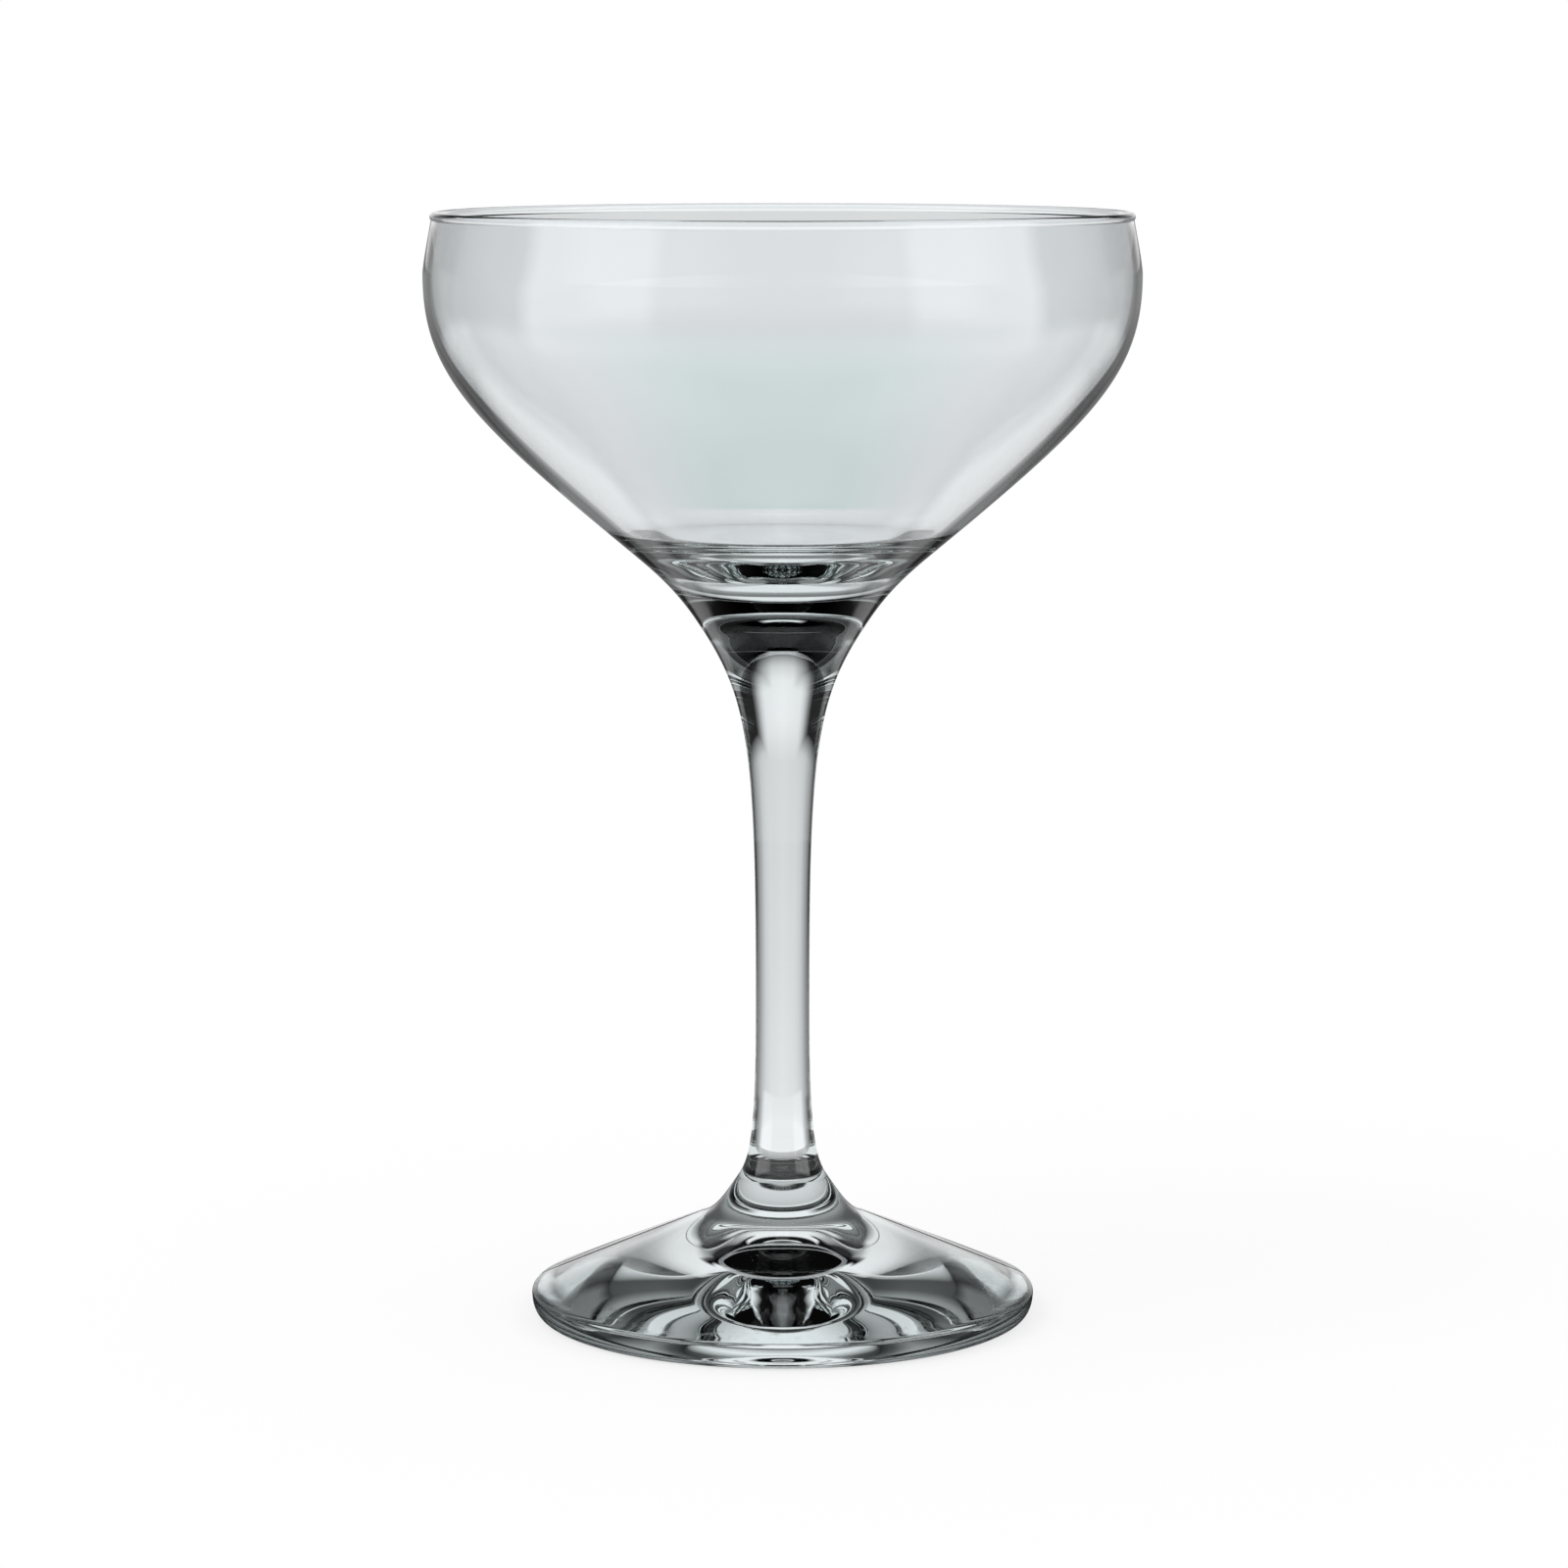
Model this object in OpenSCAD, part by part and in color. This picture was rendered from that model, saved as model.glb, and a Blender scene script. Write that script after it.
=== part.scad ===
// Stemmed cocktail glass: a round bowl with a beaded lip, a drawn solid stem and a pressed foot.
// The three pieces are hot-fused end to end on flat weld faces. All turn about the Z axis, and the
// origin is the middle of the circle that the foot rests on.

/* [Bowl] */
// Outer radius of the bowl at its widest ring
bowl_r = 49.1; // [40:0.1:60]
// Height of the widest ring above the bowl's weld face
belly_h = 48; // [34:0.1:60]
// Height of the lip's top above the widest ring
lip_rise = 8.6; // [4:0.1:20]
// How far the wall under the lip's bead lies in from the widest ring
lip_tuck = 1.2; // [0.4:0.1:4]
// Inward lean of the wall under the lip, in degrees from upright
lip_lean = 10; // [0:1:20]
// Thickness of the bowl's wall
wall_t = 1.2; // [0.8:0.05:2.5]
// How far the fire-polished bead stands out from the wall
lip_bead = 0.17; // [0.05:0.01:0.5]
// Outer radius of the bowl where its flank is steepest
flank_r = 19.8; // [17:0.1:24]
// Height of that place above the bowl's weld face
flank_h = 9.2; // [8:0.1:13]
// Outward lean of the flank there, in degrees from upright
flank_lean = 50; // [40:1:60]
// How far up the flank from there the thick floor reaches
heel_up = 5.7; // [4:0.1:9]
// Thickness of the wall at the thick floor's end, measured square to it
heel_t = 2; // [1.2:0.05:3]
// Height of the middle of the bowl's inside floor above the bowl's weld face
floor_h = 8.7; // [6:0.1:10]
// Radius of the dish in the middle of that floor
dish_r = 13.8; // [10:0.1:16]
// Height of the dish's rim above its middle
dish_h = 3.1; // [1.5:0.1:4]

/* [Stem] */
// Radius of the stem where it is thinnest
stem_r = 3.72; // [2.5:0.02:6]
// Height of the thinnest ring above the stem's lower weld face
waist_h = 25.2; // [16:0.2:40]
// Height of the stem's upper weld face above the thinnest ring
neck_h = 52.2; // [34:0.2:80]
// Radius of the weld between the stem and the bowl
bowl_weld_r = 11.5; // [8:0.1:14]
// Outward lean of the outline at that weld, in degrees from upright
bowl_weld_lean = 33.5; // [24:0.5:42]
// Radius of the weld between the stem and the foot
foot_weld_r = 6.2; // [5.2:0.1:8]
// Inward lean of the outline at that weld, in degrees from upright
foot_weld_lean = 34; // [20:1:45]

/* [Foot] */
// Outer radius of the foot
foot_r = 35.1; // [28:0.1:45]
// Thickness of the foot at its edge
edge_t = 3.6; // [2.6:0.1:5]
// Rounding of the edge's upper corner
edge_round = 0.8; // [0.3:0.1:1.2]
// Radius where the straight top of the foot begins
cone_r = 11.5; // [10:0.1:14]
// Height of that place above the table
cone_h = 13.7; // [11:0.1:18]
// Height of the foot's weld face above that place
flare_h = 5.7; // [4:0.1:9]
// How far the flat ring that the foot rests on lies in from the edge
ring_tuck = 2.1; // [1:0.1:4]
// Width of that ring
ring_w = 1.6; // [0.8:0.1:3]
// Height of the middle of the hollow under the foot
hollow_h = 6; // [4:0.1:8]
// Radius of the pressed dome in the middle of that hollow
dome_r = 9; // [6:0.1:14]
// How far the dome's foot lies below its middle
dome_h = 3.2; // [1.5:0.1:3.8]

/* [Hidden] */
$fn = 128;
glass_tint = [0.82, 0.87, 0.89];
glass_alpha = 0.5;

// Straight pieces in each bend and in each round
bend_steps = 22;
round_steps = 12;

// How far each end of a bend pulls it, as shares of the straight line between its ends
lip_shares = [0.2, 0.3];
belly_shares = [0.61, 0.28];
throat_shares = [0.3, 0.45];
heel_shares = [0.5, 0.5];
dish_shares = [0.4, 0.5];
neck_shares = [0.67, 0.23];
waist_shares = [0.12, 0.72];
flare_shares = [0.5, 0.3];
edge_shares = [0.45, 0.4];
hollow_shares = [0.5, 0.15];
dome_shares = [0.3, 0.5];

// Slopes of the dish's rim, of the foot's hollow at its ring and of the dome's foot, in degrees
// from upright
dish_lean = 66;
hollow_lean = -85;
dome_lean = -60;

// Heights of the two weld faces and of the top above the table
foot_weld_z = cone_h + flare_h;
bowl_weld_z = foot_weld_z + waist_h + neck_h;
top_z = bowl_weld_z + belly_h + lip_rise;

// The weld rings' outlines, which the pieces on both sides share
bowl_weld = [bowl_weld_r, bowl_weld_z];
foot_weld = [foot_weld_r, foot_weld_z];

// Unit step that leans outwards by an angle from straight up
function lean(angle) = [sin(angle), cos(angle)];

// Point at share t of the cubic bend from a to d, pulled by b and c
function bend_point(a, b, c, d, t) =
    a * pow(1 - t, 3) + b * 3 * t * pow(1 - t, 2) + c * 3 * t * t * (1 - t) + d * pow(t, 3);

// Bend that leaves a at one lean and reaches d at another
function bend(a, lean_a, d, lean_d, shares) =
    let (b = a + lean(lean_a) * norm(d - a) * shares[0],
         c = d - lean(lean_d) * norm(d - a) * shares[1])
    [for (i = [0 : bend_steps]) bend_point(a, b, c, d, i / bend_steps)];

// Round of radius r about c, from one angle to another, measured from outwards
function round_about(c, r, from, to) =
    [for (i = [0 : round_steps])
        let (angle = from + (to - from) * i / round_steps)
        c + r * [cos(angle), sin(angle)]];

// Shares of a bend that is followed the other way
function turned(shares) = [shares[1], shares[0]];

// The bowl's bead is as thick as the wall and its overhang, and it meets the inner wall smoothly
lip_r = bowl_r - lip_tuck;
bead_r = (wall_t + lip_bead) / 2;
bead_c = [lip_r + lip_bead - bead_r, top_z - bead_r];
bead_start = -acos((bead_r - lip_bead) / bead_r);

// The bowl's outside, from its weld up to the bead
belly = [bowl_r, bowl_weld_z + belly_h];
flank = [flank_r, bowl_weld_z + flank_h];
lip_outer = bead_c + bead_r * [cos(bead_start), sin(bead_start)];
bowl_outside = concat(
    bend(bowl_weld, bowl_weld_lean, flank, flank_lean, throat_shares),
    bend(flank, flank_lean, belly, 0, belly_shares),
    bend(belly, 0, lip_outer, -lip_lean, lip_shares));

// The bowl's inside, from the bead down to the middle of its floor
lip_inner = bead_c - [bead_r, 0];
belly_inner = belly - [wall_t, 0];
heel = flank + heel_up * lean(flank_lean) + heel_t * lean(flank_lean - 90);
dish_rim = [dish_r, bowl_weld_z + floor_h + dish_h];
floor_middle = [0, bowl_weld_z + floor_h];
bowl_inside = concat(
    bend(lip_inner, 180 - lip_lean, belly_inner, 180, turned(lip_shares)),
    bend(belly_inner, 180, heel, 180 + flank_lean, turned(belly_shares)),
    bend(heel, 180 + flank_lean, dish_rim, 180 + dish_lean, heel_shares),
    bend(dish_rim, 180 + dish_lean, floor_middle, 270, dish_shares));

module bowl() {
    color(glass_tint, glass_alpha)
        rotate_extrude()
            polygon(concat(
                [[0, bowl_weld_z]],
                bowl_outside,
                round_about(bead_c, bead_r, bead_start, 180),
                bowl_inside));
}

// The stem's outside, from the foot's weld up to the bowl's
waist = [stem_r, foot_weld_z + waist_h];
stem_outside = concat(
    bend(foot_weld, -foot_weld_lean, waist, 0, waist_shares),
    bend(waist, 0, bowl_weld, bowl_weld_lean, neck_shares));

module stem() {
    color(glass_tint, glass_alpha)
        rotate_extrude()
            polygon(concat(
                [[0, foot_weld_z]],
                stem_outside,
                [[0, bowl_weld_z]]));
}

// The foot's straight top falls from the end of the flare to the edge's rounded corner
cone_start = [cone_r, cone_h];
cone_fall = atan((cone_h - edge_t) / (foot_r - cone_r));
corner_c = [
    foot_r - edge_round,
    edge_t + edge_round * tan(cone_fall) - edge_round / cos(cone_fall)];

// The foot's top, from its weld out to the edge, and its underside, back to the middle
ring_outer = [foot_r - ring_tuck, 0];
ring_inner = ring_outer - [ring_w, 0];
dome_foot = [dome_r, hollow_h - dome_h];
hollow_middle = [0, hollow_h];
foot_top = concat(
    bend(foot_weld, 180 - foot_weld_lean, cone_start, 90 + cone_fall, flare_shares),
    round_about(corner_c, edge_round, 90 - cone_fall, 0));
foot_underside = concat(
    bend(corner_c + [edge_round, 0], 180, ring_outer, 270, edge_shares),
    bend(ring_inner, hollow_lean, dome_foot, dome_lean, hollow_shares),
    bend(dome_foot, dome_lean, hollow_middle, 270, dome_shares));

module foot() {
    color(glass_tint, glass_alpha)
        rotate_extrude()
            polygon(concat(
                [[0, foot_weld_z]],
                foot_top,
                foot_underside));
}

bowl();
stem();
foot();
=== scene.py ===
# %% [markdown]
# # A stemmed cocktail glass
#
# The glass is made of three pieces that a glassmaker fuses hot: a blown bowl, a drawn stem and a
# pressed foot. Every one of them is round, so each could be turned from an outline, bent from a
# cylinder with modifiers, or sculpted. Outlines are the best way here: glass shows the smallest
# dent in its curve as a streak, and an outline made of a few smooth bends has none.

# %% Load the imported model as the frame
import math

import bpy
import numpy as np
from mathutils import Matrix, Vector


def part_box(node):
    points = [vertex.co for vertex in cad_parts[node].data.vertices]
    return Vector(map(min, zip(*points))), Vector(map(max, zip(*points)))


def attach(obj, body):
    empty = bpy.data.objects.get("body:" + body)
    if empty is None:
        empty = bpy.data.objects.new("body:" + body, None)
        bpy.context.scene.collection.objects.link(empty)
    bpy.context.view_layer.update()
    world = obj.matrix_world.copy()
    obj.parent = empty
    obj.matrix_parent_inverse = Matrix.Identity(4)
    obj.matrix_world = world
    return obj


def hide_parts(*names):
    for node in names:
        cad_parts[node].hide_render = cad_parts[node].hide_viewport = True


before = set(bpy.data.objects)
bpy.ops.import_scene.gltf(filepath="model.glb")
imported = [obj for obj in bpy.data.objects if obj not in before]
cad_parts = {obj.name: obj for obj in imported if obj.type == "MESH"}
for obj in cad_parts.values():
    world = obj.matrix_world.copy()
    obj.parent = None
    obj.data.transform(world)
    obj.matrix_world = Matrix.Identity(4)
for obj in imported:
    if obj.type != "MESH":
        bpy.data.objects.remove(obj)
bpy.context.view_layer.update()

# %% [markdown]
# ## Sizes
#
# The places that the frame knows come from its boxes: how wide each piece is and at what height
# it is fused to the next. The other sizes are the glassmaker's own: wall thickness, leans and the
# little rounds at the lip and the edge. They are written in metres, as everything in the frame is.

# %% Take the main sizes from the frame's boxes
_, bowl_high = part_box("bowl")
stem_low, stem_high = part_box("stem")
_, foot_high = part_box("foot")

MM = 0.001
bowl_r = bowl_high[0]
lip_top_z = bowl_high[2]
bowl_weld_r = stem_high[0]
bowl_weld_z = stem_high[2]
foot_weld_z = stem_low[2]
foot_r = foot_high[0]
print("bowl", bowl_r, "lip", lip_top_z, "welds", foot_weld_z, bowl_weld_z, "foot", foot_r)

# %% [markdown]
# The rest are sizes that no box can tell. Leans are angles in degrees from straight up. The bowl's
# inside follows its outside: the wall has one thickness up to the thick floor, which starts at the
# heel, a little way up the flank.

# %% Name the glassmaker's other sizes
wall_t = 1.2 * MM
lip_rise = 8.6 * MM
lip_tuck = 1.2 * MM
lip_bead = 0.17 * MM
lip_lean = 10
flank = np.array([19.8 * MM, bowl_weld_z + 9.2 * MM])
flank_lean = 50
heel_up = 5.7 * MM
heel_t = 2.0 * MM
floor_h = 8.7 * MM
dish_r = 13.8 * MM
dish_h = 3.1 * MM
dish_lean = 66
bowl_weld_lean = 33.5

stem_r = 3.72 * MM
waist_z = foot_weld_z + 25.2 * MM
foot_weld_r = 6.2 * MM
foot_weld_lean = 34

cone_start = np.array([11.5 * MM, 13.7 * MM])
edge_t = 3.6 * MM
edge_round = 0.8 * MM
ring_tuck = 2.1 * MM
ring_w = 1.6 * MM
hollow_h = 6.0 * MM
hollow_lean = -85
dome_r = 9.0 * MM
dome_h = 3.2 * MM
dome_lean = -60
print("wall", wall_t, "waist radius", stem_r, "foot's edge", edge_t)

# %% [markdown]
# Each bend is pulled at both of its ends. How far is a share of the straight line between them: a
# large share keeps the bend straight for longer there, a small one lets it turn at once.

# %% Name the pulls of the bends
lip_shares = (0.2, 0.3)
belly_shares = (0.61, 0.28)
throat_shares = (0.3, 0.45)
heel_shares = (0.5, 0.5)
dish_shares = (0.4, 0.5)
neck_shares = (0.67, 0.23)
waist_shares = (0.12, 0.72)
flare_shares = (0.5, 0.3)
edge_shares = (0.45, 0.4)
hollow_shares = (0.5, 0.15)
dome_shares = (0.3, 0.5)
print("the belly's bend is pulled by", belly_shares)

# %% [markdown]
# ## Outlines
#
# An outline is a list of points in the plane of radius and height. Three helpers draw it. A bend
# is one cubic curve that leaves its first point at one lean and reaches its last at another. A
# round is part of a circle. Joining drops the points that two neighbours share, because a doubled
# point would give the turned surface faces without area.

# %% Bends and rounds
SAME_POINT = 1e-4 * MM


def lean(angle):
    """Unit step (sin a, cos a) that leans outwards by an angle from straight up."""
    return np.array([math.sin(math.radians(angle)), math.cos(math.radians(angle))])


def bend(start, lean_from, end, lean_to, shares, steps):
    """Cubic p(t) = a(1-t)^3 + 3bt(1-t)^2 + 3ct^2(1-t) + dt^3. Its two middle points lie along
    the leans, at the given shares of the straight line from start to end."""
    a, d = np.array(start, float), np.array(end, float)
    chord = np.linalg.norm(d - a)
    b = a + lean(lean_from) * chord * shares[0]
    c = d - lean(lean_to) * chord * shares[1]
    t = np.linspace(0, 1, steps + 1)[:, None]
    return a * (1 - t) ** 3 + 3 * b * t * (1 - t) ** 2 + 3 * c * t**2 * (1 - t) + d * t**3


def round_about(centre, radius, angle_from, angle_to, steps=14):
    """Circle c + r(cos a, sin a), with the angle running evenly between its two ends."""
    a = np.radians(np.linspace(angle_from, angle_to, steps + 1))
    return np.array(centre) + radius * np.stack([np.cos(a), np.sin(a)], axis=1)


def joined(*runs):
    """One outline from several runs, without the points that neighbouring runs share."""
    points = np.vstack(runs)
    step = np.linalg.norm(np.diff(points, axis=0), axis=1)
    return points[np.concatenate([[True], step > SAME_POINT])]


print("a quarter round of 1 mm:", round_about((0, 0), MM, 0, 90, 2).tolist())

# %% [markdown]
# The bowl is blown: its wall is thin and even from the lip down to the flank, and the glass
# gathers into a thick floor where the stem was drawn on. That thick floor is what makes the dark
# and bright rings in the bottom of such a glass, so its inside is worth drawing with care: a
# shallow dish in a broad floor.

# %% The bowl's outline
WELD_GAP = 0.01 * MM
bead_r = (wall_t + lip_bead) / 2
bead_c = np.array([bowl_r - lip_tuck + lip_bead - bead_r, lip_top_z - bead_r])
bead_start = -math.degrees(math.acos((bead_r - lip_bead) / bead_r))
belly = np.array([bowl_r, lip_top_z - lip_rise])
lip_outer = round_about(bead_c, bead_r, bead_start, bead_start, 1)[0]
lip_inner = bead_c - (bead_r, 0)
belly_inner = belly - (wall_t, 0)
heel = flank + heel_up * lean(flank_lean) + heel_t * lean(flank_lean - 90)
dish_rim = np.array([dish_r, bowl_weld_z + floor_h + dish_h])
floor_middle = np.array([0, bowl_weld_z + floor_h])
bowl_bottom = bowl_weld_z + WELD_GAP

bowl_outline = joined(
    [[0, bowl_bottom], [bowl_weld_r / 2, bowl_bottom], [bowl_weld_r, bowl_bottom]],
    bend([bowl_weld_r, bowl_weld_z], bowl_weld_lean, flank, flank_lean, throat_shares, steps=36)[1:],
    bend(flank, flank_lean, belly, 0, belly_shares, steps=72),
    bend(belly, 0, lip_outer, -lip_lean, lip_shares, steps=24),
    round_about(bead_c, bead_r, bead_start, 180),
    bend(lip_inner, 180 - lip_lean, belly_inner, 180, lip_shares[::-1], steps=24),
    bend(belly_inner, 180, heel, 180 + flank_lean, belly_shares[::-1], steps=72),
    bend(heel, 180 + flank_lean, dish_rim, 180 + dish_lean, heel_shares, steps=28),
    bend(dish_rim, 180 + dish_lean, floor_middle, 270, dish_shares, steps=28),
)
print("bowl outline", len(bowl_outline), "points")

# %% [markdown]
# The stem is drawn from the same hot glass: solid, thinnest a third of the way up, and flaring at
# both ends into the pieces that it joins. The flare's lean is the same on both sides of each weld.

# %% The stem's outline
waist = np.array([stem_r, waist_z])
stem_outline = joined(
    [[0, foot_weld_z], [foot_weld_r / 2, foot_weld_z]],
    bend([foot_weld_r, foot_weld_z], -foot_weld_lean, waist, 0, waist_shares, steps=64),
    bend(waist, 0, [bowl_weld_r, bowl_weld_z], bowl_weld_lean, neck_shares, steps=96),
    [[bowl_weld_r / 2, bowl_weld_z], [0, bowl_weld_z]],
)
print("stem outline", len(stem_outline), "points")

# %% [markdown]
# The foot is pressed: its top falls in a straight cone to a rounded edge, it stands on a narrow
# ring, and its underside is hollow, with a small dome in the middle.

# %% The foot's outline
CONE_POINTS = 33
cone_fall = math.atan((cone_start[1] - edge_t) / (foot_r - cone_start[0]))
corner_c = np.array([
    foot_r - edge_round,
    edge_t + edge_round * math.tan(cone_fall) - edge_round / math.cos(cone_fall),
])
edge_round_run = round_about(corner_c, edge_round, 90 - math.degrees(cone_fall), 0)
ring_outer = np.array([foot_r - ring_tuck, 0.0])
ring_inner = ring_outer - (ring_w, 0)
dome_foot = np.array([dome_r, hollow_h - dome_h])
foot_top = foot_weld_z - WELD_GAP

foot_outline = joined(
    [[0, foot_top], [foot_weld_r / 2, foot_top], [foot_weld_r, foot_top]],
    bend([foot_weld_r, foot_weld_z], 180 - foot_weld_lean, cone_start,
         90 + math.degrees(cone_fall), flare_shares, steps=40)[1:],
    np.linspace(cone_start, edge_round_run[0], CONE_POINTS),
    edge_round_run,
    bend(corner_c + (edge_round, 0), 180, ring_outer, 270, edge_shares, steps=20),
    bend(ring_inner, hollow_lean, dome_foot, dome_lean, hollow_shares, steps=36),
    bend(dome_foot, dome_lean, [0, hollow_h], 270, dome_shares, steps=36),
)
print("foot outline", len(foot_outline), "points")

# %% [markdown]
# ## Turning the outlines
#
# A turned surface is a function of two parameters: how far along the outline and how far round.
# Both poles are closed with a fan of triangles. The order of the corners is chosen so that the
# faces point outwards, which is tested by the solid's signed volume.

# %% Turn an outline into a closed mesh
SHARP_ANGLE = 30


def turned(name, outline, around):
    """Surface (r cos a, r sin a, z) for the outline's points (r, z) and even angles a. The first
    and last points lie on the axis and close the surface as poles."""
    angle = np.linspace(0, 2 * np.pi, around, endpoint=False)
    radius, height = outline[1:-1, 0][:, None], outline[1:-1, 1][:, None]
    grid = np.stack([
        radius * np.cos(angle),
        radius * np.sin(angle),
        height + 0 * angle,
    ], axis=-1).reshape(-1, 3)
    rows = len(outline) - 2
    poles = np.array([[0, 0, outline[0, 1]], [0, 0, outline[-1, 1]]])
    verts = np.vstack([grid, poles])

    row, here = np.meshgrid(np.arange(rows - 1), np.arange(around), indexing="ij")
    after = (here + 1) % around
    quads = np.stack([
        row * around + here,
        row * around + after,
        (row + 1) * around + after,
        (row + 1) * around + here,
    ], axis=-1).reshape(-1, 4)
    here = np.arange(around)
    after = (here + 1) % around
    last = (rows - 1) * around
    start_fan = np.stack([np.full(around, rows * around), after, here], axis=-1)
    end_fan = np.stack([np.full(around, rows * around + 1), last + here, last + after], axis=-1)

    if signed_volume(outline) < 0:
        quads, start_fan, end_fan = quads[:, ::-1], start_fan[:, ::-1], end_fan[:, ::-1]
    mesh = bpy.data.meshes.new(name)
    mesh.from_pydata(verts.tolist(), [], quads.tolist() + start_fan.tolist() + end_fan.tolist())
    mesh.polygons.foreach_set("use_smooth", np.ones(len(mesh.polygons), bool))
    mesh.set_sharp_from_angle(angle=math.radians(SHARP_ANGLE))
    mesh.update()
    piece = bpy.data.objects.new(name, mesh)
    bpy.context.scene.collection.objects.link(piece)
    return piece


def signed_volume(outline):
    """Volume pi/3 * sum (r1^2 + r1 r2 + r2^2)(z2 - z1), positive where the outline runs upwards
    on its outside."""
    r1, z1 = outline[:-1].T
    r2, z2 = outline[1:].T
    return math.pi / 3 * np.sum((r1**2 + r1 * r2 + r2**2) * (z2 - z1))


CM3 = 1e-6
for label, outline in (("bowl", bowl_outline), ("stem", stem_outline), ("foot", foot_outline)):
    print(label, "%.1f cm3" % (abs(signed_volume(outline)) / CM3))

# %% [markdown]
# Each piece rides on the root, because nothing on the glass moves, and stands in for the CAD solid
# of its name. The stem is thin, so it needs fewer steps round it than the bowl and the foot.

# %% Make the three pieces
bowl = turned("blown_bowl", bowl_outline, around=224)
stem = turned("drawn_stem", stem_outline, around=144)
foot = turned("pressed_foot", foot_outline, around=224)
for piece, node in ((bowl, "bowl"), (stem, "stem"), (foot, "foot")):
    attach(piece, "root")
    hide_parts(node)
    print(piece.name, len(piece.data.vertices), "points")

# %% [markdown]
# Where the pieces are fused there is no surface any more: light runs straight through. The two
# flat faces of each weld therefore get a mark, and the glass is left out where the mark is 1. The
# bowl's and the foot's weld faces stand a hundredth of a millimetre off the stem's, so that no
# two faces share a place.

# %% Mark the weld faces
WELD_REACH = 0.03 * MM
LEVEL_FACE = 0.99


def mark_welds(piece, heights):
    """Face attribute weld = 1 where |normal z| > 0.99 and |z - a weld's height| < 0.03 mm."""
    mesh = piece.data
    centre = np.empty(len(mesh.polygons) * 3)
    normal = np.empty(len(mesh.polygons) * 3)
    mesh.polygons.foreach_get("center", centre)
    mesh.polygons.foreach_get("normal", normal)
    level = np.abs(normal.reshape(-1, 3)[:, 2]) > LEVEL_FACE
    near = np.abs(centre.reshape(-1, 3)[:, 2][:, None] - heights).min(axis=1) < WELD_REACH
    weld = mesh.attributes.new("weld", "FLOAT", "FACE")
    weld.data.foreach_set("value", (level & near).astype(np.float32))
    return int((level & near).sum())


for piece in (bowl, stem, foot):
    print(piece.name, mark_welds(piece, np.array([foot_weld_z, bowl_weld_z])), "weld faces")

# %% [markdown]
# ## Glass
#
# Clear glass is a Principled shader with full transmission. What makes it look made and used, not
# computed, is small: a very faint waviness left by forming it, and fine scuffs on the ring that
# it stands on. Both come from one group, with its own values for each piece. The faint grey-green
# cast of soda-lime glass is an absorption inside the solid, so thick places are darker than thin.
#
# The group comes first, with what goes in and what comes out.

# %% A group for the marks of making and of use
def group_node(tree, kind, **values):
    """A node of the given kind, with its settings."""
    node = tree.nodes.new(kind)
    for key, value in values.items():
        setattr(node, key, value)
    return node


marks = bpy.data.node_groups.new("forming_and_scuffs", "ShaderNodeTree")
for label, default in (("Wave Size", 60.0), ("Stretch", 1.0), ("Scuff Top", 0.0004)):
    marks.interface.new_socket(label, in_out="INPUT", socket_type="NodeSocketFloat").default_value = default
for label in ("Height", "Roughness"):
    marks.interface.new_socket(label, in_out="OUTPUT", socket_type="NodeSocketFloat")
given = group_node(marks, "NodeGroupInput")
result = group_node(marks, "NodeGroupOutput")
place = group_node(marks, "ShaderNodeTexCoord")
parts = group_node(marks, "ShaderNodeSeparateXYZ")
marks.links.new(place.outputs["Object"], parts.inputs[0])
print("group", marks.name, "starts with", len(marks.nodes), "nodes")

# %% [markdown]
# The waviness is a coarse, soft noise. On the stem it is drawn out along the glass, as the stem
# itself is, so heights are multiplied by a stretch below 1 before the noise reads them.

# %% The waviness
WAVE_DETAIL = 1.0
WAVE_ROUGHNESS = 0.4
squeeze = group_node(marks, "ShaderNodeMath", operation="MULTIPLY")
marks.links.new(parts.outputs["Z"], squeeze.inputs[0])
marks.links.new(given.outputs["Stretch"], squeeze.inputs[1])
stretched = group_node(marks, "ShaderNodeCombineXYZ")
marks.links.new(parts.outputs["X"], stretched.inputs["X"])
marks.links.new(parts.outputs["Y"], stretched.inputs["Y"])
marks.links.new(squeeze.outputs[0], stretched.inputs["Z"])
wave = group_node(marks, "ShaderNodeTexNoise")
wave.inputs["Detail"].default_value = WAVE_DETAIL
wave.inputs["Roughness"].default_value = WAVE_ROUGHNESS
marks.links.new(stretched.outputs[0], wave.inputs["Vector"])
marks.links.new(given.outputs["Wave Size"], wave.inputs["Scale"])
marks.links.new(wave.outputs["Fac"], result.inputs["Height"])
print("with the waviness:", len(marks.nodes), "nodes")

# %% [markdown]
# The scuffs are a fine noise too. Its brighter half becomes roughness, but only below a small
# height above the table, where the glass has stood on things.

# %% The scuffs
SCUFF_SCALE = 900.0
SCUFF_DETAIL = 3.0
SCUFF_START = 0.45
SCUFF_FULL = 0.7
SCUFF_ROUGHNESS = 0.12
scratch = group_node(marks, "ShaderNodeTexNoise")
scratch.inputs["Scale"].default_value = SCUFF_SCALE
scratch.inputs["Detail"].default_value = SCUFF_DETAIL
marks.links.new(place.outputs["Object"], scratch.inputs["Vector"])
low = group_node(marks, "ShaderNodeMath", operation="LESS_THAN")
marks.links.new(parts.outputs["Z"], low.inputs[0])
marks.links.new(given.outputs["Scuff Top"], low.inputs[1])
spread = group_node(marks, "ShaderNodeMapRange")
spread.inputs["From Min"].default_value = SCUFF_START
spread.inputs["From Max"].default_value = SCUFF_FULL
spread.inputs["To Max"].default_value = SCUFF_ROUGHNESS
marks.links.new(scratch.outputs["Fac"], spread.inputs["Value"])
only_low = group_node(marks, "ShaderNodeMath", operation="MULTIPLY")
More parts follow.
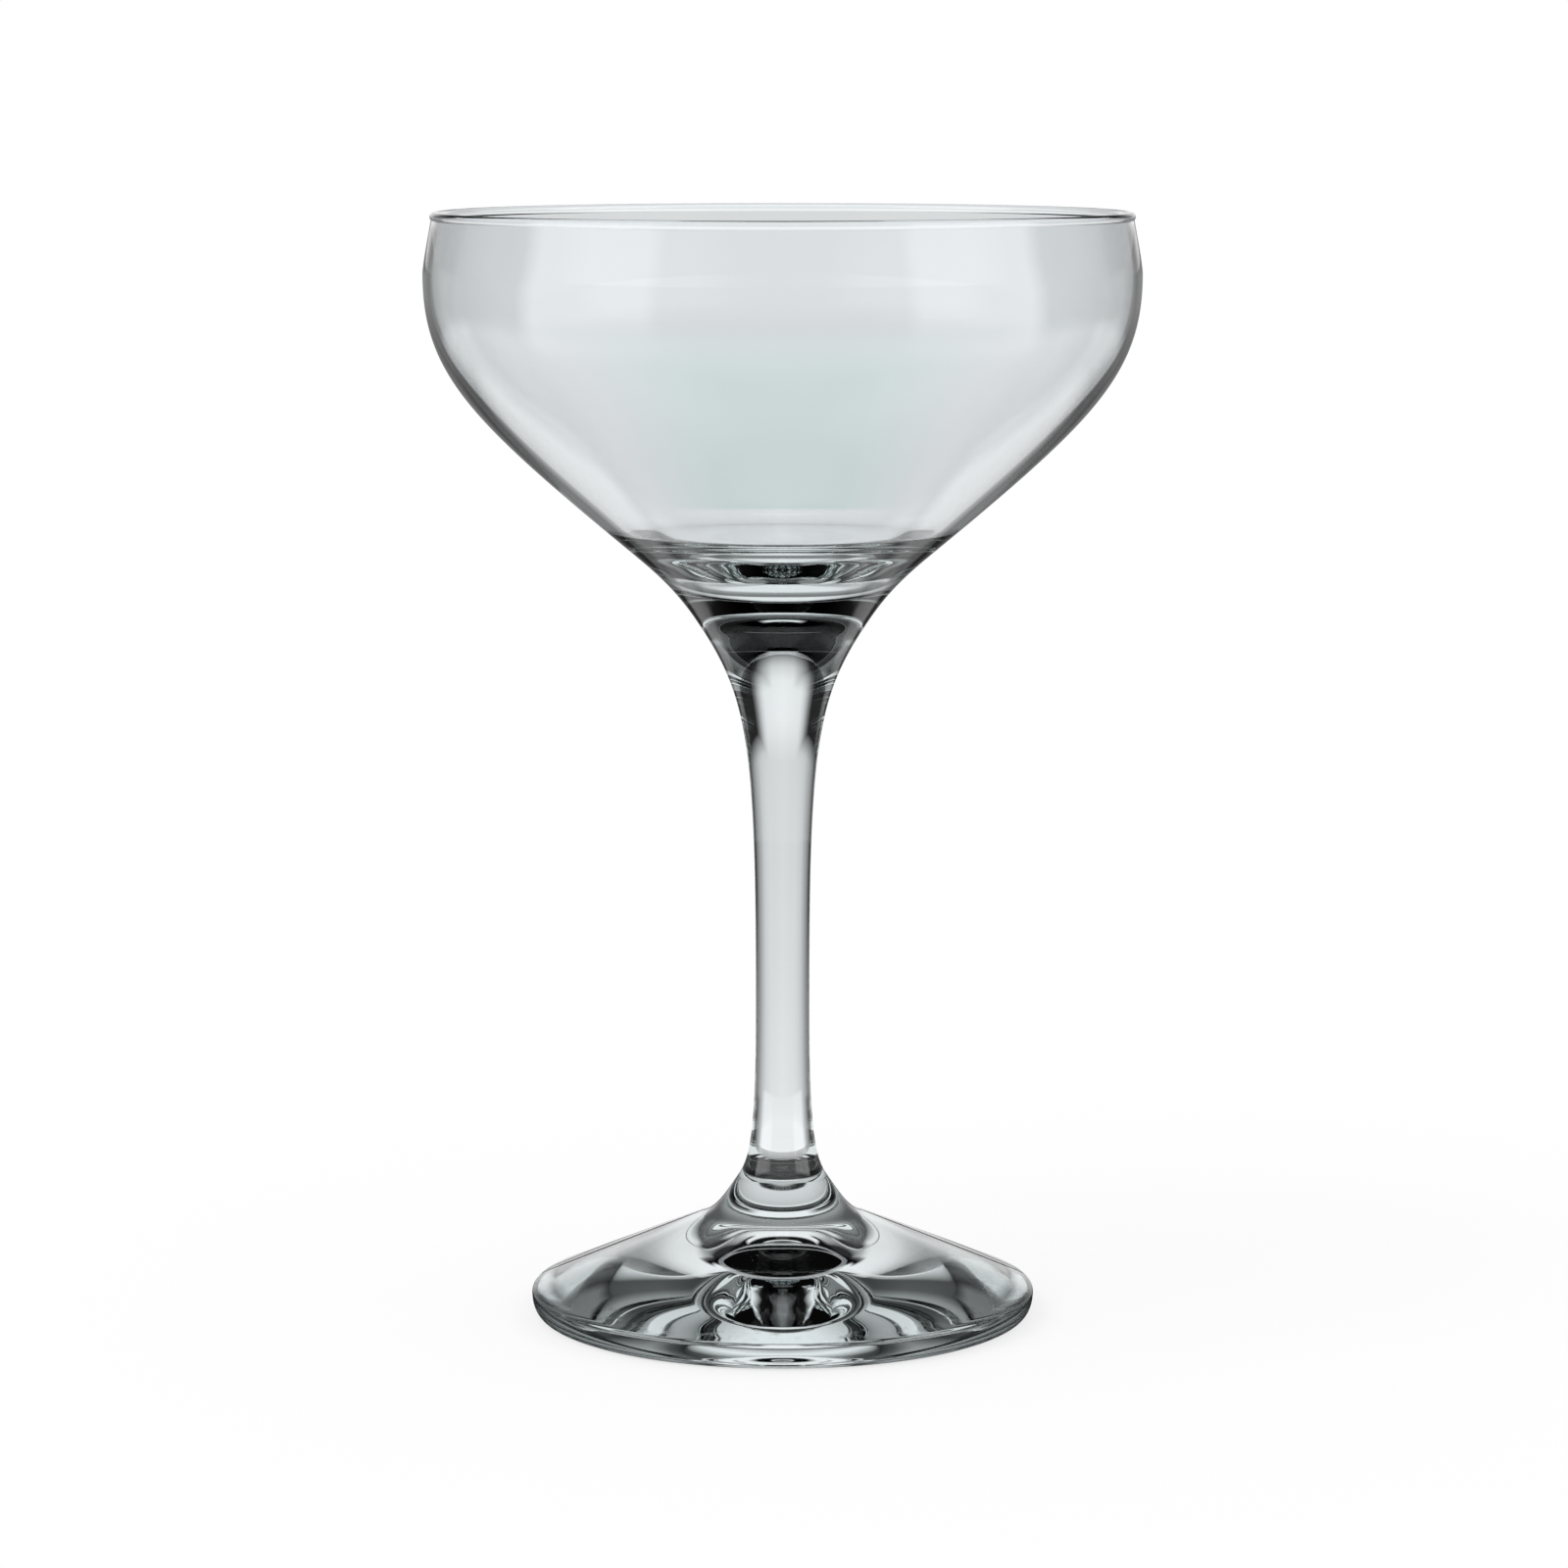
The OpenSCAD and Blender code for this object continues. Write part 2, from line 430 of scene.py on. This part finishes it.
marks.links.new(low.outputs[0], only_low.inputs[0])
marks.links.new(spread.outputs[0], only_low.inputs[1])
marks.links.new(only_low.outputs[0], result.inputs["Roughness"])
print("group", marks.name, "has", len(marks.nodes), "nodes")

# %% [markdown]
# All three pieces are the same clear glass. They differ in how wavy they are, in how strongly they
# absorb, and in that only the foot is scuffed. Where the weld mark is 1, the shader's alpha is 0.

# %% The glass of each piece
GLASS_IOR = 1.52


def glass(name, cast, depth, wave_size, stretch, wave_height, scuffed):
    """Clear glass: full transmission, absorption of colour cast and strength depth inside, a
    waviness of wave_height and, where scuffed, a roughened standing ring."""
    material = bpy.data.materials.new(name)
    material.use_nodes = True
    tree = material.node_tree
    shader = tree.nodes["Principled BSDF"]
    shader.inputs["Base Color"].default_value = (1, 1, 1, 1)
    shader.inputs["IOR"].default_value = GLASS_IOR
    shader.inputs["Transmission Weight"].default_value = 1.0
    shader.inputs["Roughness"].default_value = 0.0

    made = tree.nodes.new("ShaderNodeGroup")
    made.node_tree = marks
    made.inputs["Wave Size"].default_value = wave_size
    made.inputs["Stretch"].default_value = stretch
    bump = tree.nodes.new("ShaderNodeBump")
    bump.inputs["Distance"].default_value = wave_height
    tree.links.new(made.outputs["Height"], bump.inputs["Height"])
    tree.links.new(bump.outputs["Normal"], shader.inputs["Normal"])
    if scuffed:
        tree.links.new(made.outputs["Roughness"], shader.inputs["Roughness"])

    weld = tree.nodes.new("ShaderNodeAttribute")
    weld.attribute_name = "weld"
    solid = tree.nodes.new("ShaderNodeMath")
    solid.operation = "SUBTRACT"
    solid.inputs[0].default_value = 1.0
    tree.links.new(weld.outputs["Fac"], solid.inputs[1])
    tree.links.new(solid.outputs[0], shader.inputs["Alpha"])

    inside = tree.nodes.new("ShaderNodeVolumeAbsorption")
    inside.inputs["Color"].default_value = (*cast, 1)
    inside.inputs["Density"].default_value = depth
    tree.links.new(inside.outputs[0], tree.nodes["Material Output"].inputs["Volume"])
    return material


soda_lime = (0.5, 0.66, 0.66)
bowl.data.materials.append(glass(
    "bowl_glass", soda_lime, depth=9.0, wave_size=45.0, stretch=1.0, wave_height=0.02 * MM, scuffed=False))
stem.data.materials.append(glass(
    "stem_glass", soda_lime, depth=9.0, wave_size=180.0, stretch=0.12, wave_height=0.01 * MM, scuffed=False))
foot.data.materials.append(glass(
    "foot_glass", soda_lime, depth=5.0, wave_size=70.0, stretch=1.0, wave_height=0.02 * MM, scuffed=True))
print([material.name for material in bpy.data.materials])

# %% [markdown]
# ## The camera
#
# The photograph was taken from a little above the lip and from not far away, with a long lens, so
# the lip and the foot show as flat ovals. The camera's distance, height and pitch were worked out
# from those two ovals. Pixels count on a picture 1600 wide, the pitch is in radians below level, and
# the camera stands straight in front of the glass.

# %% Set the camera
PIXELS = 1600
FOCAL_PIXELS = 5212.0
AXIS_PIXEL = 798.57
CAMERA_AWAY = 0.7008
CAMERA_UP = 0.17116
CAMERA_PITCH = 0.137
SENSOR_WIDTH = 36.0
CLIP_START = 0.01
camera_data = bpy.data.cameras.new("camera")
camera = bpy.data.objects.new("camera", camera_data)
bpy.context.scene.collection.objects.link(camera)
camera_data.sensor_width = SENSOR_WIDTH
camera_data.lens = FOCAL_PIXELS * SENSOR_WIDTH / PIXELS
camera_data.shift_x = (PIXELS / 2 - AXIS_PIXEL) / PIXELS
camera_data.clip_start = CLIP_START
camera.location = (0.0, -CAMERA_AWAY, CAMERA_UP)
camera.rotation_euler = (math.pi / 2 - CAMERA_PITCH, 0.0, 0.0)
bpy.context.scene.camera = camera
print("lens %.1f mm" % camera_data.lens)

# %% [markdown]
# ## The studio
#
# Clear glass has no colour of its own: it shows what stands round it. A photographer lights it
# with a bright white field behind it and dark boards at both sides. The field makes it clear and
# the boards draw its edges as dark lines. Here the world does that by direction, and the table by
# place, where the field and the boards are painted light and shade on the table itself. Both look
# white to the camera itself, and light that has gone through the glass or come off it sees the field
# and the boards.
#
# Everything here is made with nodes, and a node tree takes many lines to write. So the first
# helpers place a node or two and give back the output, ready for the next one.

# %% Helpers that place nodes
def math_node(tree, operation, first, second=None):
    """A Math node on sockets or plain numbers."""
    node = group_node(tree, "ShaderNodeMath", operation=operation)
    for socket, value in zip(node.inputs, (first, second)):
        if isinstance(value, (int, float)):
            socket.default_value = value
        elif value is not None:
            tree.links.new(value, socket)
    return node.outputs[0]


def mix_colour(tree, share, first, second, blend="MIX"):
    """A Mix node on colours, with sockets or plain values."""
    node = group_node(tree, "ShaderNodeMix", data_type="RGBA", blend_type=blend)
    for label, value in (("Factor", share), ("A", first), ("B", second)):
        if isinstance(value, (int, float)):
            node.inputs[label].default_value = value
        elif isinstance(value, tuple):
            node.inputs[label].default_value = (*value, 1)
        else:
            tree.links.new(value, node.inputs[label])
    return node.outputs["Result"]


def strip(tree, value, stops, span):
    """Colour ramp through (position, brightness or colour) pairs, with positions from 0 to span."""
    ramp = group_node(tree, "ShaderNodeValToRGB")
    tree.links.new(math_node(tree, "DIVIDE", value, span), ramp.inputs[0])
    elements = ramp.color_ramp.elements
    while len(elements) < len(stops):
        elements.new(0.5)
    for element, (position, bright) in zip(elements, stops):
        element.position = position / span
        element.color = (bright, bright, bright, 1) if np.isscalar(bright) else (*bright, 1)
    return ramp.outputs[0]


print("node helpers:", math_node.__name__, mix_colour.__name__, strip.__name__)

# %% [markdown]
# A pattern is built from panels. A panel is one bright patch with soft ends. Its brightness is one
# fall-off by bearing times another by height above the horizon, or on the table by distance from
# the middle. The bearing is the angle from straight ahead, as seen from above. It counts the same
# to the left and to the right, so the studio's two sides are alike.

# %% Panels of light
HALF_TURN = 180


def bearing(tree, vector):
    """Angle in degrees between a direction and +Y, seen from above, and the direction's height."""
    split = group_node(tree, "ShaderNodeSeparateXYZ")
    tree.links.new(vector, split.inputs[0])
    sideways = math_node(tree, "ABSOLUTE", split.outputs["X"])
    angle = math_node(tree, "ARCTAN2", sideways, split.outputs["Y"])
    return math_node(tree, "MULTIPLY", angle, HALF_TURN / math.pi), split.outputs["Z"]


def panel(tree, across, sides, along, ends):
    """One bright patch: its fall-off across (by bearing) times its fall-off along."""
    return math_node(tree, "MULTIPLY", strip(tree, across, sides, HALF_TURN),
                     strip(tree, along, ends, ends[-1][0]))


def together(tree, *panels):
    """The brightest of several panels at each place."""
    result = panels[0]
    for other in panels[1:]:
        result = math_node(tree, "MAXIMUM", result, other)
    return result


print("pattern helpers:", bearing.__name__, panel.__name__, together.__name__)

# %% [markdown]
# One plain room can't give all the zones that the photograph shows, so there are five patterns, and
# a Light Path node chooses between them by what the light has met on its way:
#
# - thin: straight on, through two thin walls, which is four surfaces
# - solid: straight on, through solid glass, which is two surfaces
# - inner: turned back inside the glass on this side
# - far inner: turned back inside the far wall
# - outer: come off the outside
#
# Over the lip only one thin wall is in the way, so the count of surfaces is that of solid glass. On
# the table the two can be told apart by the light's last stretch. From the stem, it is the long side
# of a triangle whose other sides are the distance from the middle and a height of 99 mm at most. A
# stretch that reaches higher, or one that is too short, came over the lip.
#
# Counts are whole numbers, so a test for one or more asks for more than a half. The three patterns
# of grey values are multiplied by a very faint blue, the colour of the photograph's field.

# %% Choose a pattern by the light's path
FIELD_TINT = (0.96, 0.985, 1.0)
PALE_FIELD = (0.75, 0.785, 0.81)
WHITE = (1.0, 1.0, 1.0)
ONE_OR_MORE = 0.5
FOUR_OR_MORE = 3.5
STEM_REACH = 0.099
SHORT_SHARE = 0.988
FAR_OUT = 0.25


def over_the_lip(tree, last, away):
    """1 where the last stretch L of light, to a place at distance r from the middle, didn't start
    at the stem: where L^2 - r^2 > h^2 for the height h or, far out, where L < 0.988 r."""
    short = math_node(tree, "LESS_THAN", last, math_node(tree, "MULTIPLY", away, SHORT_SHARE))
    far_out = math_node(tree, "GREATER_THAN", away, FAR_OUT)
    height_squared = math_node(tree, "SUBTRACT", math_node(tree, "MULTIPLY", last, last),
                               math_node(tree, "MULTIPLY", away, away))
    high = math_node(tree, "GREATER_THAN", height_squared, STEM_REACH**2)
    return math_node(tree, "MAXIMUM", math_node(tree, "MULTIPLY", short, far_out), high)


def by_path(tree, thin, solid, inner, far_inner, outer, away=None):
    """The pattern for the light's path. On the table, away is the distance from the middle."""
    path = group_node(tree, "ShaderNodeLightPath")
    bounced = math_node(tree, "GREATER_THAN", path.outputs["Glossy Depth"], ONE_OR_MORE)
    entered = math_node(tree, "GREATER_THAN", path.outputs["Transmission Depth"], ONE_OR_MORE)
    crossed_four = math_node(tree, "GREATER_THAN", path.outputs["Transmission Depth"], FOUR_OR_MORE)
    thin_share = crossed_four
    if away is not None:
        lip_share = over_the_lip(tree, path.outputs["Ray Length"], away)
        thin_share = math_node(tree, "MAXIMUM", crossed_four, lip_share)
    solid, inner, far_inner = (
        mix_colour(tree, 1.0, pattern, FIELD_TINT, "MULTIPLY") for pattern in (solid, inner, far_inner))
    straight = mix_colour(tree, thin_share, solid, thin)
    turned_back = mix_colour(tree, crossed_four, inner, far_inner)
    return mix_colour(tree, bounced, straight, mix_colour(tree, entered, outer, turned_back))


def seen_plainly(tree):
    """1 for the camera's own rays and for light that falls on something matt."""
    path = group_node(tree, "ShaderNodeLightPath")
    return math_node(tree, "MAXIMUM", path.outputs["Is Camera Ray"], path.outputs["Is Diffuse Ray"])


print("light from the stem starts below %.0f mm" % (STEM_REACH / MM))

# %% [markdown]
# The world comes first. Straight ahead through solid glass lies the white field, a little greyer
# towards the horizon, with the boards from a bearing of about 30 degrees. Close to the horizon the
# field falls off more slowly, because that is what the stem shows.

# %% The world for light that goes straight through solid glass
world = bpy.data.worlds.new("studio")
bpy.context.scene.world = world
world.use_nodes = True
tree = world.node_tree
direction = group_node(tree, "ShaderNodeTexCoord").outputs["Generated"]
turn, up = bearing(tree, direction)
rise = math_node(tree, "MULTIPLY", math_node(tree, "ARCSINE", up), HALF_TURN / math.pi)

field_sides = [
    (0, 1), (16, 0.92), (20, 0.7), (26, 0.2), (30, 0.02), (68, 0.02), (76, 0.85), (104, 0.85),
    (112, 0.02), (148, 0.02), (156, 0.85), (180, 0.85)]
field_rise = [(0, 0.8), (4, 0.92), (8, 0.98), (18, 0.98), (26, 0.6), (34, 0.1), (50, 0.02), (90, 0.02)]
middle_sides = [(0, 1), (8, 0.95), (16, 0.5), (24, 0), (180, 0)]
middle_rise = [(0, 0.8), (4, 0.92), (8, 0.98), (22, 0.98), (32, 0.8), (42, 0.4), (50, 0), (90, 0)]
stem_sides = [
    (0, 0.88), (13, 0.84), (19, 0.81), (25, 0.76), (32, 0.66), (41, 0.5), (54, 0.25), (62, 0.05),
    (72, 0.05), (78, 0.75), (102, 0.75), (112, 0.3), (140, 0.35), (150, 0.85), (180, 0.9)]
horizon_rise = [(0, 0.88), (1.5, 0.85), (6, 0), (90, 0)]
solid = together(
    tree,
    panel(tree, turn, field_sides, rise, field_rise),
    panel(tree, turn, middle_sides, rise, middle_rise),
    panel(tree, turn, stem_sides, rise, horizon_rise))
print("straight through solid glass:", len(tree.nodes), "nodes")

# %% [markdown]
# Light that is turned back inside the glass sees a dimmer room: the field low down and, straight
# ahead, high up too, soft boxes at the front corners, and a narrow strip of light high above.

# %% The world for light turned back inside
low_sides = [
    (0, 1), (12, 0.95), (18, 0.72), (24, 0.5), (28, 0.45), (34, 0.3), (40, 0.03), (48, 0.03),
    (54, 0.22), (72, 0.22), (80, 0.05), (100, 0.05), (180, 0.05)]
box_sides = [(0, 0), (100, 0), (115, 1), (150, 1), (165, 0.4), (180, 0.3)]
inner = together(
    tree,
    panel(tree, turn, low_sides, rise, [(0, 1), (22, 1), (27, 0.25), (32, 0), (90, 0)]),
    panel(tree, turn, [(0, 1), (9, 1), (15, 0), (180, 0)], rise, [(0, 1), (44, 1), (54, 0), (90, 0)]),
    panel(tree, turn, [(0, 1), (18, 1), (26, 0), (180, 0)], rise, [
        (0, 0), (34, 0), (38, 1), (47, 1), (53, 0), (90, 0)]),
    panel(tree, turn, box_sides, rise, [(0, 1), (22, 1), (32, 0), (90, 0)]),
    panel(tree, turn, [(0, 1), (18, 1), (28, 0), (180, 0)], rise, [
        (0, 0), (65.5, 0), (67, 0.9), (70, 0.9), (71.5, 0), (90, 0)]))
far_inner = panel(tree, turn, [(0, 0.6), (16, 0.6), (22, 0.35), (180, 0.15)], rise, [
    (0, 1), (26, 1), (34, 0.1), (90, 0.1)])
print("with the room for light turned back:", len(tree.nodes), "nodes")

# %% [markdown]
# Only a few hundredths of the light come off the outside, so the soft boxes have to be brighter
# than white to show as pale patches on the bowl. At the very edge of the glass most light comes off
# it, and there it sees the field.

# %% The world for light off the outside, and all five together
BOX_STRENGTH = 3.0
window_sides = [(0, 0), (88, 0), (96, 1), (136, 1), (142, 0.45), (180, 0.45)]
windows = panel(tree, turn, window_sides, rise, [(0, 1), (25, 1), (32, 0.1), (90, 0.05)])
edge_sides = [(0, 1), (15, 1), (24, 0.4), (45, 0.2), (88, 0.05), (180, 0)]
outer = together(
    tree,
    math_node(tree, "MULTIPLY", windows, BOX_STRENGTH),
    panel(tree, turn, edge_sides, rise, [(0, 1), (10, 1), (18, 0.2), (25, 0.05), (90, 0.02)]))
studio = by_path(tree, PALE_FIELD, solid, inner, far_inner, outer)
sky = mix_colour(tree, seen_plainly(tree), studio, WHITE)
tree.links.new(sky, tree.nodes["Background"].inputs["Color"])
print("world has", len(tree.nodes), "nodes")

# %% [markdown]
# The floor is a white table. The camera sees it as white as the field behind it, apart from the
# glass's own soft shadow. Light that has gone through the glass or come off it sees painted light
# and shade that the table itself gives off: a painted shadow under the foot, a narrow painted bright
# ring where the foot would gather light, and painted light further out.
# Distances on it are in metres, and each list's last one stands for everything beyond.

# %% The table, and how far each place on it lies from the middle
FLOOR_HALF = 40.0
FLOOR_GAP = 0.02 * MM
corners = np.array([(-1, -1, 0), (1, -1, 0), (1, 1, 0), (-1, 1, 0)])
floor_mesh = bpy.data.meshes.new("floor")
floor_mesh.from_pydata((corners * FLOOR_HALF - (0, 0, FLOOR_GAP)).tolist(), [], [(0, 1, 2, 3)])
floor = bpy.data.objects.new("floor", floor_mesh)
bpy.context.scene.collection.objects.link(floor)

table = bpy.data.materials.new("white_table")
table.use_nodes = True
tree = table.node_tree
tree.nodes.clear()
spot = group_node(tree, "ShaderNodeTexCoord").outputs["Object"]
turn, _ = bearing(tree, spot)
length = group_node(tree, "ShaderNodeVectorMath", operation="LENGTH")
tree.links.new(spot, length.inputs[0])
away = length.outputs["Value"]
print("floor at", floor_mesh.vertices[0].co.z)

# %% [markdown]
# Through the bowl's thin walls the table is pale, with painted shade close under the foot and a
# painted green glow a metre behind the glass. Through solid glass it is white ahead and dark at the
# sides, as the world is, with a painted shadow under the foot and the stem, a painted bright ring
# round the foot, and painted light further out.

# %% The table for light that goes straight through
# The colour of the painted green glow.
PAINTED_GREEN_GLOW = (0.74, 0.84, 0.84)
# Painted shade: 0.3 within 45 mm of the middle, under the foot, then pale, and dimmer far off.
pale_table_painted_shade = strip(tree, away, [
    (0, (0.3, 0.3, 0.3)), (0.045, (0.3, 0.3, 0.3)), (0.09, (0.87, 0.91, 0.94)),
    (0.4, (0.9, 0.935, 0.96)), (1.1, (0.9, 0.93, 0.96)), (1.35, (0.78, 0.82, 0.84)),
    (1.6, PALE_FIELD), (6, PALE_FIELD)], 6)
# Where the painted green glow lies: straight ahead, about 0.9 to 1.25 m out.
painted_green_glow_share = panel(tree, turn, [(0, 1), (2, 1), (5.5, 0), (180, 0)], away, [
    (0, 0), (0.78, 0), (0.9, 0.9), (1.03, 1), (1.25, 0.5), (1.5, 0), (6, 0)])
thin = mix_colour(tree, painted_green_glow_share, pale_table_painted_shade, PAINTED_GREEN_GLOW)

# Painted shadow under the foot, a painted bright ring 22 to 24 mm out, painted shadow under the stem out to
# 90 mm, and painted light further out.
foot_sides = [
    (0, 1), (28, 1), (36, 0.65), (44, 0.35), (50, 0.2), (55, 0.05), (64, 0.05), (74, 0.8),
    (106, 0.8), (116, 0.05), (128, 0.05), (140, 0.6), (150, 0.85), (180, 0.9)]
solid = together(
    tree,
    panel(tree, turn, foot_sides, away, [
        (0, 0), (0.021, 0), (0.022, 1), (0.024, 1), (0.026, 0), (0.032, 0), (0.037, 0.6),
        (0.042, 0.9), (0.12, 0.9), (0.14, 0), (1, 0)]),
    panel(tree, turn, stem_sides, away, [
        (0, 0), (0.09, 0), (0.11, 1), (0.2, 0.97), (0.3, 0.92), (0.5, 0.88), (1, 0.88)]),
    panel(tree, turn, [(0, 0), (74, 0), (84, 0.8), (180, 0.8)], away, [
        (0, 0), (0.24, 0), (0.32, 1), (1, 1)]))
print("straight through:", len(tree.nodes), "nodes")

# %% [markdown]
# Light that is turned back inside sees the open table with painted light and shade on it: a painted
# shadow close to the foot, a painted bright ring where the foot would gather light under itself, and
# painted lighter stretches of table at the far corners.

# %% The table for light turned back inside
# Painted shadow close to the foot, a painted bright ring 21 to 25 mm out, and painted lighter stretches at
# the far corners.
table_sides = [
    (0, 1), (14, 1), (20, 0.6), (32, 0.6), (50, 0.5), (62, 0.3), (75, 0.15), (105, 0.1),
    (120, 0.3), (145, 0.3), (155, 0.05), (180, 0.05)]
corner_sides = [
    (0, 0), (22, 0), (26, 0.88), (34, 0.88), (42, 1), (54, 1), (62, 0), (105, 0), (115, 0.3),
    (145, 0.3), (155, 0), (180, 0)]
inner = together(
    tree,
    panel(tree, turn, table_sides, away, [
        (0, 0.02), (0.02, 0.03), (0.026, 0.1), (0.033, 0.14), (0.036, 0.5), (0.042, 0.8),
        (0.06, 0.95), (0.2, 0.95), (0.3, 0.4), (0.6, 0.25), (1, 0.25)]),
    panel(tree, turn, [(0, 1), (32, 1), (42, 0), (180, 0)], away, [
        (0, 0), (0.0205, 0), (0.0215, 1), (0.025, 1), (0.0265, 0), (1, 0)]),
    panel(tree, turn, corner_sides, away, [
        (0, 0), (0.08, 0), (0.13, 0.9), (0.5, 0.9), (0.7, 0.3), (1, 0.3)]))
# Painted shade near the foot, brightening outwards, for light turned back in the far wall.
far_inner = panel(tree, turn, [(0, 0.6), (20, 0.6), (30, 0.3), (180, 0.15)], away, [
    (0, 0), (0.03, 0), (0.1, 0.5), (0.5, 1), (1, 1)])
print("with light turned back:", len(tree.nodes), "nodes")

# %% [markdown]
# Light off the outside sees a painted glow of the soft boxes far out on the table, and painted
# brighter stretches close to the glass: one at each far corner, and one straight ahead, which keeps
# the foot's upper outline from turning into a thick dark line.

# %% The table for light off the outside
# Painted glow of the soft boxes far out on the table, and painted brighter stretches near the glass.
glow_sides = [(0, 0.09), (40, 0.09), (88, 0.04), (96, 1), (136, 1), (142, 0.45), (180, 0.45)]
glow = panel(tree, turn, glow_sides, away, [(0, 0), (0.2, 0), (0.6, 1), (1, 1)])
near_sides = [(0, 0), (24, 0), (32, 0.8), (42, 1), (52, 1), (62, 0), (180, 0)]
ahead_sides = [(0, 1), (20, 1), (30, 0.3), (45, 0.1), (88, 0.05), (180, 0)]
outer = together(
    tree,
    math_node(tree, "MULTIPLY", glow, BOX_STRENGTH),
    panel(tree, turn, near_sides, away, [
        (0, 0), (0.04, 0), (0.05, 1), (0.08, 1), (0.1, 0.3), (0.12, 0.9), (0.25, 0.9),
        (0.35, 0.05), (1, 0)]),
    panel(tree, turn, ahead_sides, away, [
        (0, 0), (0.05, 0.1), (0.09, 1), (0.16, 1), (0.24, 0.05), (1, 0)]))
# The table gives off all these patterns itself, as painted light and shade for light that met the glass.
through = group_node(tree, "ShaderNodeEmission")
tree.links.new(by_path(tree, thin, solid, inner, far_inner, outer, away), through.inputs["Color"])
print("with light off the outside:", len(tree.nodes), "nodes")

# %% [markdown]
# What the camera sees of the table is plain white light. Near the glass a quarter of it is a matt
# surface instead, and that part takes the glass's shadow.

# %% The table as the camera sees it
MATT_WHITE = (0.9, 0.9, 0.9, 1)
matt_share = strip(tree, away, [(0, 0.25), (0.05, 0.25), (0.2, 0)], 1.0)
white = group_node(tree, "ShaderNodeEmission")
matt = group_node(tree, "ShaderNodeBsdfDiffuse")
matt.inputs["Color"].default_value = MATT_WHITE
seen = group_node(tree, "ShaderNodeMixShader")
tree.links.new(matt_share, seen.inputs[0])
tree.links.new(white.outputs[0], seen.inputs[1])
tree.links.new(matt.outputs[0], seen.inputs[2])

chosen = group_node(tree, "ShaderNodeMixShader")
tree.links.new(seen_plainly(tree), chosen.inputs[0])
tree.links.new(through.outputs[0], chosen.inputs[1])
tree.links.new(seen.outputs[0], chosen.inputs[2])
target = group_node(tree, "ShaderNodeOutputMaterial")
tree.links.new(chosen.outputs[0], target.inputs["Surface"])
floor.data.materials.append(table)
print("table has", len(tree.nodes), "nodes")

# %% [markdown]
# Light can be turned back many times inside the foot, whose top and underside nearly meet at the
# edge. With the usual limit on bounces those places would turn black, so the limit is raised.

# %% Let light bounce often enough
BOUNCES = 10
for kind in ("max_bounces", "glossy_bounces", "transmission_bounces"):
    setattr(bpy.context.scene.cycles, kind, BOUNCES)
print("light may bounce", BOUNCES, "times")

# %% [markdown]
# A large soft lamp above and to the left gives the table the faint shadow that seats the glass. The
# glass itself doesn't show it: it is hidden from light that comes off glass or goes through it.

# %% One soft lamp
LAMP_SIZE = 0.5
LAMP_WATTS = 2.0
LAMP_PLACE = (-0.5, -0.3, 0.9)
LAMP_TURN = (math.radians(20), math.radians(-30), 0)
lamp_data = bpy.data.lights.new("soft_box", "AREA")
lamp_data.shape = "DISK"
lamp_data.size = LAMP_SIZE
lamp_data.energy = LAMP_WATTS
lamp = bpy.data.objects.new("soft_box", lamp_data)
lamp.location = LAMP_PLACE
lamp.rotation_euler = LAMP_TURN
lamp.visible_glossy = False
lamp.visible_transmission = False
bpy.context.scene.collection.objects.link(lamp)
print("lamp at", LAMP_PLACE)

# %% [markdown]
# ## Finish
#
# The plain colour transform shows white as white.

# %% Colour and finish
bpy.context.scene.view_settings.view_transform = "Standard"
